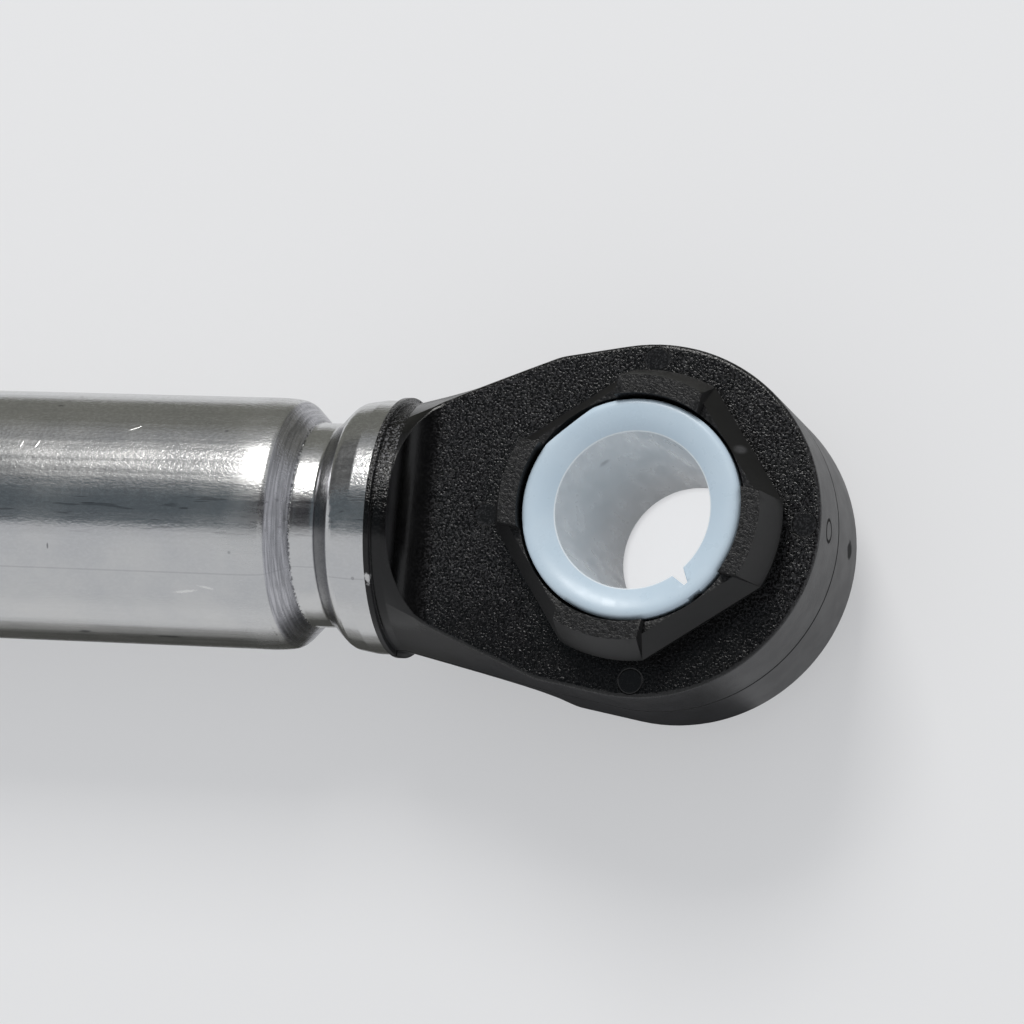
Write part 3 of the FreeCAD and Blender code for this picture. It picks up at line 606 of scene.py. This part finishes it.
def sleeve_smudge(tree, scuffs):
    """A small smudge in the bore of the housing's sleeve."""
    place = zip(tree.split(tree.place()), SMUDGE_PLACE)
    distance = tree.distance(*[tree.gap(value, target) for value, target in place])
    return tree.below(tree.total(distance, tree.product(scuffs, MM)), 1.0 * MM, 0.3 * MM)


def sleeve_plastic():
    """Pale blue plastic with painted light on the bore wall, strongest at the far opening, and a painted
    highlight round the bore's edge.
    """
    material, tree = new_material("sleeve_plastic_pale")
    place = tree.place()
    cloud = tree.noise(place, scale=260.0)
    scuffs = tree.noise(tree.stretch(place, (1.0, 1.0, 0.3)), scale=900.0)
    wall, edge = bore_masks(tree)
    height = tree.split(place)[2]
    layers = (
        # Painted light: the bore wall is lighter than the lip, most towards the far opening
        (wall, 1.0, tree.blend(tree.ramp(height, -BORE_HALF, 2.0 * MM), PAINTED_LIGHT_BORE_FAR, PAINTED_LIGHT_BORE_NEAR)),
        # Painted highlight along the bore's edge
        (edge, 1.0, BORE_EDGE_HIGHLIGHT),
        (sleeve_smudge(tree, scuffs), 0.6, SMUDGE),
    )
    lip = tree.blend(tree.ramp(cloud, 0.3, 0.7), LIP_BLUE, LIP_PALE)
    rough = tree.ramp(scuffs, 0.35, 0.7, out_low=0.27, out_high=0.38)
    tree.principled(Base_Color=tree.layered(lip, layers), Roughness=rough)
    return material


# Plastic of the guides and foam of the linings

FOAM_DARK = (0.20, 0.17, 0.11, 1.0)
FOAM_PALE = (0.36, 0.32, 0.24, 1.0)


def guide_plastic():
    material, tree = new_material("guide_plastic_moulded")
    grains = tree.noise(tree.place(), scale=4000.0)
    colour = tree.blend(grains, grey(0.010), grey(0.018))
    tree.principled(Base_Color=colour, Roughness=0.42, Normal=tree.bump(grains, depth=0.02 * MM))
    return material


def lining_foam():
    material, tree = new_material("lining_foam_greased")
    pores, number = tree.cells(tree.place(), scale=1800.0)
    colour = tree.blend(pores, FOAM_DARK, FOAM_PALE)
    rough = tree.ramp(number, 0.0, 1.0, out_low=0.5, out_high=0.7)
    tree.principled(Base_Color=colour, Roughness=rough, Normal=tree.bump(pores, depth=0.1 * MM))
    return material


FINISHES = {
    "tube_steel": steel(),
    "eye_plastic": eye_plastic(),
    "bush_rubber": bush_rubber(),
    "sleeve_plastic": sleeve_plastic(),
    "buffer_rubber": plain_rubber(),
    "guide_plastic": guide_plastic(),
    "lining_foam": lining_foam(),
}


def dress(piece, material):
    piece.data.materials.clear()
    piece.data.materials.append(material)


for subpart in frame["record"]["subparts"]:
    dress(frame["nodes"][subpart["node"]], FINISHES[subpart["material_slot"]])


# Pieces that take the place of a node

WELD = 0.001 * MM
EDGE_ANGLE = math.radians(22.0)


def welded(node):
    """An editable copy of a node's shape, with its split vertices joined."""
    shape = bmesh.new()
    shape.from_mesh(frame["nodes"][node].data)
    bmesh.ops.remove_doubles(shape, verts=shape.verts, dist=WELD)
    return shape


def finished(shape, name, slot):
    """A smooth piece with sharp edges, made from an edited shape."""
    mesh = bpy.data.meshes.new(name)
    shape.to_mesh(mesh)
    shape.free()
    mesh.shade_smooth()
    mesh.set_sharp_from_angle(angle=EDGE_ANGLE)
    piece = bpy.data.objects.new(name, mesh)
    scene.collection.objects.link(piece)
    weighted = piece.modifiers.new("weighted", "WEIGHTED_NORMAL")
    weighted.keep_sharp = True
    dress(piece, FINISHES[slot])
    return piece


# Rubber bushes with soft edges

SOFT_EDGE = 0.25 * MM
SOFT_STEPS = 2
FLAT_ANGLE = math.radians(0.5)


def soft_bush(node, body):
    """The bush of a node with every moulded edge rounded."""
    shape = welded(node)
    bmesh.ops.dissolve_limit(shape, angle_limit=FLAT_ANGLE, verts=shape.verts, edges=shape.edges)
    bmesh.ops.bevel(
        shape,
        geom=[edge for edge in shape.edges if edge.is_manifold and edge.calc_face_angle() > EDGE_ANGLE],
        offset=SOFT_EDGE,
        offset_type="OFFSET",
        segments=SOFT_STEPS,
        profile=0.5,
        affect="EDGES",
        clamp_overlap=True,
    )
    bmesh.ops.triangulate(shape, faces=shape.faces)
    piece = finished(shape, node + "_soft", "bush_rubber")
    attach(piece, body)
    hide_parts(node)


soft_bush("housing_rubber_bush", "housing")
soft_bush("tappet_rubber_bush", "tappet")


# Sleeves whose lips fall towards the bore

LIP_CROWN = 9.62 * MM
LIP_RADIUS = 10.2 * MM
LIP_TOP = 13.2 * MM
LIP_FROM = 12.15 * MM
LIP_OUTER_DROP = 0.5 * MM
LIP_INNER_DROP = 1.0 * MM
LIP_BEND = 1.8


def lip_height(radius):
    """The height of the lip, with a small outer round and a long fall to the bore."""
    if radius > LIP_CROWN:
        share = min((radius - LIP_CROWN) / (LIP_RADIUS - LIP_CROWN), 1.0)
        return LIP_TOP - LIP_OUTER_DROP * (1.0 - math.sqrt(1.0 - share * share))
    share = (LIP_CROWN - radius) / (LIP_CROWN - PIN_RADIUS)
    return LIP_TOP - LIP_INNER_DROP * share**LIP_BEND


def crisp_sleeve(node, body, centre_x):
    """The sleeve of a node with a crisp edge round its lips."""
    shape = welded(node)
    for vertex in shape.verts:
        if abs(vertex.co.z) > LIP_FROM:
            height = lip_height(math.hypot(vertex.co.x - centre_x, vertex.co.y))
            vertex.co.z = math.copysign(height, vertex.co.z)
    piece = finished(shape, node + "_crisp", "sleeve_plastic")
    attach(piece, body)
    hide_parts(node)


crisp_sleeve("housing_sleeve", "housing", HOUSING_EYE_X)
crisp_sleeve("tappet_sleeve", "tappet", TAPPET_EYE_X)


# Floor and room

FLOOR_SIZE = 8.0
FLOOR_COLOUR = (0.44, 0.442, 0.447, 1.0)
FLOOR_GLOW = 0.395
BORE_GLOW = 0.335
GLOW_COLOUR = (0.98, 0.985, 1.0, 1.0)
ROOM_LIGHT = (0.49, 0.50, 0.515, 1.0)
ROOM_SEEN = (0.66, 0.67, 0.69, 1.0)


def panel(name, material, centre, facing, width, height):
    """A flat panel that looks at a point of the scene."""
    half_x = width / 2
    half_y = height / 2
    corners = [(-half_x, -half_y, 0), (half_x, -half_y, 0), (half_x, half_y, 0), (-half_x, half_y, 0)]
    mesh = bpy.data.meshes.new(name)
    mesh.from_pydata(corners, [], [(0, 1, 2, 3)])
    card = bpy.data.objects.new(name, mesh)
    scene.collection.objects.link(card)
    card.location = centre
    card.rotation_euler = (Vector(facing) - Vector(centre)).to_track_quat("Z", "Y").to_euler()
    dress(card, material)
    return card


def seen_directly(tree):
    """One for what the camera, a reflection or glass shows."""
    path = tree.add("LightPath").outputs
    return tree.most(path["Is Camera Ray"], path["Is Glossy Ray"], path["Is Transmission Ray"])


def make_floor():
    """A pale floor that keeps the shadow, with a painted pool of light below the housing's pin bore."""
    material, tree = new_material("floor_pale")
    x, y, z = tree.split(tree.place())
    # Painted pool of light: the floor glows more below the housing's pin bore, for seen rays only
    below_bore = tree.below(tree.distance(x, y), PIN_RADIUS + 0.4 * MM, 0.6 * MM)
    pale = tree.total(FLOOR_GLOW, tree.product(below_bore, BORE_GLOW))
    tree.principled(
        Base_Color=FLOOR_COLOUR,
        Roughness=0.9,
        Emission_Color=GLOW_COLOUR,
        Emission_Strength=tree.product(seen_directly(tree), pale),
    )
    panel("floor", material, (0.0, 0.0, FLOOR_Z), (0.0, 0.0, 1.0), FLOOR_SIZE, FLOOR_SIZE)


def make_world():
    """A room that gives soft light and looks paler than it shines."""
    world = bpy.data.worlds.new("pale_room")
    scene.world = world
    tree = Tree(world)
    light = tree.add("Background", Color=ROOM_LIGHT, Strength=1.0)
    seen = tree.add("Background", Color=ROOM_SEEN, Strength=1.0)
    mixed = tree.add("MixShader")
    for index, value in enumerate((seen_directly(tree), light.outputs[0], seen.outputs[0])):
        tree.feed(mixed, index, value)
    tree.add("OutputWorld", Surface=mixed.outputs[0])


# Cards that shape the reflections on the steel and the plastic, in metres and degrees

CARD_LEVEL = FLOOR_Z + 0.5 * MM
ROOM_SPAN = 3.0
TOP_DISTANCE = 1.6
TOP_ANGLE = 3.0
TOP_HEIGHT = 1.18
TOP_SPLIT = -0.32
UPPER_DISTANCE = 1.0
UPPER_ANGLE = 52.0
UPPER_HEIGHT = 1.06
UPPER_FROM = -0.55
UPPER_TO = 0.60
NEAR_SPAN = 2.8
LEFT_SPAN = 2.5
SIDE_Y = 1.3
SIDE_TOP = 0.25
SIDE_FOOT = -0.01
FAR_FROM_Y = 0.034
TUBE_CARDS_FROM = -0.300
TUBE_CARDS_TO = -0.026
EYE_CARD_TO = 0.008
LOW_STRIP_Y = (-0.024, -0.012)
LOWER_STRIP_Y = (-0.034, -0.024)
EYE_STRIP_Y = (-0.030, -0.010)

ZENITH_COLOUR = (0.115, 0.135, 0.15, 1.0)
NEAR_COLOUR = (0.045, 0.045, 0.05, 1.0)
UPPER_COLOUR = (0.33, 0.335, 0.34, 1.0)
LEFT_COLOUR = (0.11, 0.11, 0.11, 1.0)
FAR_COLOUR = (0.205, 0.205, 0.185, 1.0)
LOW_SHADE_COLOUR = (0.07, 0.07, 0.065, 1.0)
LOWER_SHADE_COLOUR = (0.28, 0.28, 0.275, 1.0)
EYE_SHADE_COLOUR = (0.04, 0.04, 0.042, 1.0)


def around(angle, distance, x):
    """A place at an angle from the zenith towards +Y, as seen along the tubes."""
    turn = math.radians(angle)
    return Vector((x, distance * math.sin(turn), distance * math.cos(turn)))


def make_card(name, colour, centre, facing, width, height):
    """A card that only shows in reflections."""
    material, tree = new_material(name)
    glow = tree.add("Emission", Color=colour, Strength=1.0)
    tree.add("OutputMaterial", Surface=glow.outputs["Emission"])
    card = panel(name, material, centre, facing, width, height)
    card.visible_camera = False
    card.visible_diffuse = False
    card.visible_shadow = False
    card.visible_transmission = False


def hung_card(name, colour, angle, distance, height, x_from, x_to):
    """A card that hangs over the part at an angle and faces its axis."""
    x = (x_from + x_to) / 2
    make_card(name, colour, around(angle, distance, x), (x, 0.0, 0.0), x_to - x_from, height)


def laid_card(name, colour, x_from, x_to, y_from, y_to):
    """A card that lies just above the floor and faces up."""
    x = (x_from + x_to) / 2
    y = (y_from + y_to) / 2
    centre = (x, y, CARD_LEVEL)
    make_card(name, colour, centre, (x, y, 1.0), x_to - x_from, y_to - y_from)


def make_side_card(colour):
    """A low upright card on the far side."""
    z = (SIDE_FOOT + SIDE_TOP) / 2
    make_card("side_card", colour, (0.0, SIDE_Y, z), (0.0, 0.0, z), 2 * ROOM_SPAN, SIDE_TOP - SIDE_FOOT)


def make_top_cards():
    top = (TOP_ANGLE, TOP_DISTANCE, TOP_HEIGHT)
    upper = (UPPER_ANGLE, UPPER_DISTANCE, UPPER_HEIGHT)
    hung_card("zenith_card", ZENITH_COLOUR, *top, TOP_SPLIT - ROOM_SPAN, TOP_SPLIT)
    hung_card("near_card", NEAR_COLOUR, *top, TOP_SPLIT, TOP_SPLIT + NEAR_SPAN)
    hung_card("upper_card", UPPER_COLOUR, *upper, UPPER_FROM, UPPER_TO)
    hung_card("left_card", LEFT_COLOUR, *upper, UPPER_FROM - LEFT_SPAN, UPPER_FROM)


def make_low_cards():
    make_side_card(FAR_COLOUR)
    laid_card("far_card", FAR_COLOUR, -ROOM_SPAN, ROOM_SPAN, FAR_FROM_Y, SIDE_Y)
    # Painted shade: dark cards beside the tube and the eye, where the part's shadow falls on the floor,
    # seen only in reflections
    laid_card("low_shade_card", LOW_SHADE_COLOUR, TUBE_CARDS_FROM, TUBE_CARDS_TO, *LOW_STRIP_Y)
    laid_card("lower_shade_card", LOWER_SHADE_COLOUR, TUBE_CARDS_FROM, TUBE_CARDS_TO, *LOWER_STRIP_Y)
    laid_card("eye_shade_card", EYE_SHADE_COLOUR, TUBE_CARDS_TO, EYE_CARD_TO, *EYE_STRIP_Y)


# Lamp and camera

KEY_ANGLE = 43.0
KEY_DISTANCE = 0.9
KEY_X = -0.09
KEY_SIZE = 0.34
KEY_POWER = 4.2
KEY_COLOUR = (1.0, 0.985, 0.96)

CAMERA_PLACE = Vector((109.831, -79.079, 405.572)) * MM
CAMERA_RIGHT = Vector((0.9567994, 0.0885045, -0.276951))
CAMERA_DOWN = Vector((0.03119102, -0.97829155, -0.20487257))
CAMERA_FORWARD = Vector((-0.28907096, 0.18738357, -0.93878931))
LENS = 161.84
SENSOR = 36.0


def make_key():
    """One broad lamp, above and behind the part as the camera sees it."""
    lamp = bpy.data.lights.new("key", "AREA")
    lamp.shape = "RECTANGLE"
    lamp.size = KEY_SIZE
    lamp.size_y = KEY_SIZE
    lamp.energy = KEY_POWER
    lamp.color = KEY_COLOUR
    key = bpy.data.objects.new("key", lamp)
    scene.collection.objects.link(key)
    key.location = around(KEY_ANGLE, KEY_DISTANCE, KEY_X)
    key.rotation_euler = (-key.location).to_track_quat("-Z", "Y").to_euler()


def make_camera():
    """The photograph's viewpoint, fitted to the edges that the photo shows."""
    lens = bpy.data.cameras.new("camera")
    lens.lens = LENS
    lens.sensor_width = SENSOR
    camera = bpy.data.objects.new("camera", lens)
    scene.collection.objects.link(camera)
    turned = Matrix((CAMERA_RIGHT, -CAMERA_DOWN, -CAMERA_FORWARD)).transposed().to_4x4()
    turned.translation = CAMERA_PLACE
    camera.matrix_world = turned
    scene.camera = camera


make_floor()
make_top_cards()
make_low_cards()
make_key()
make_world()
make_camera()
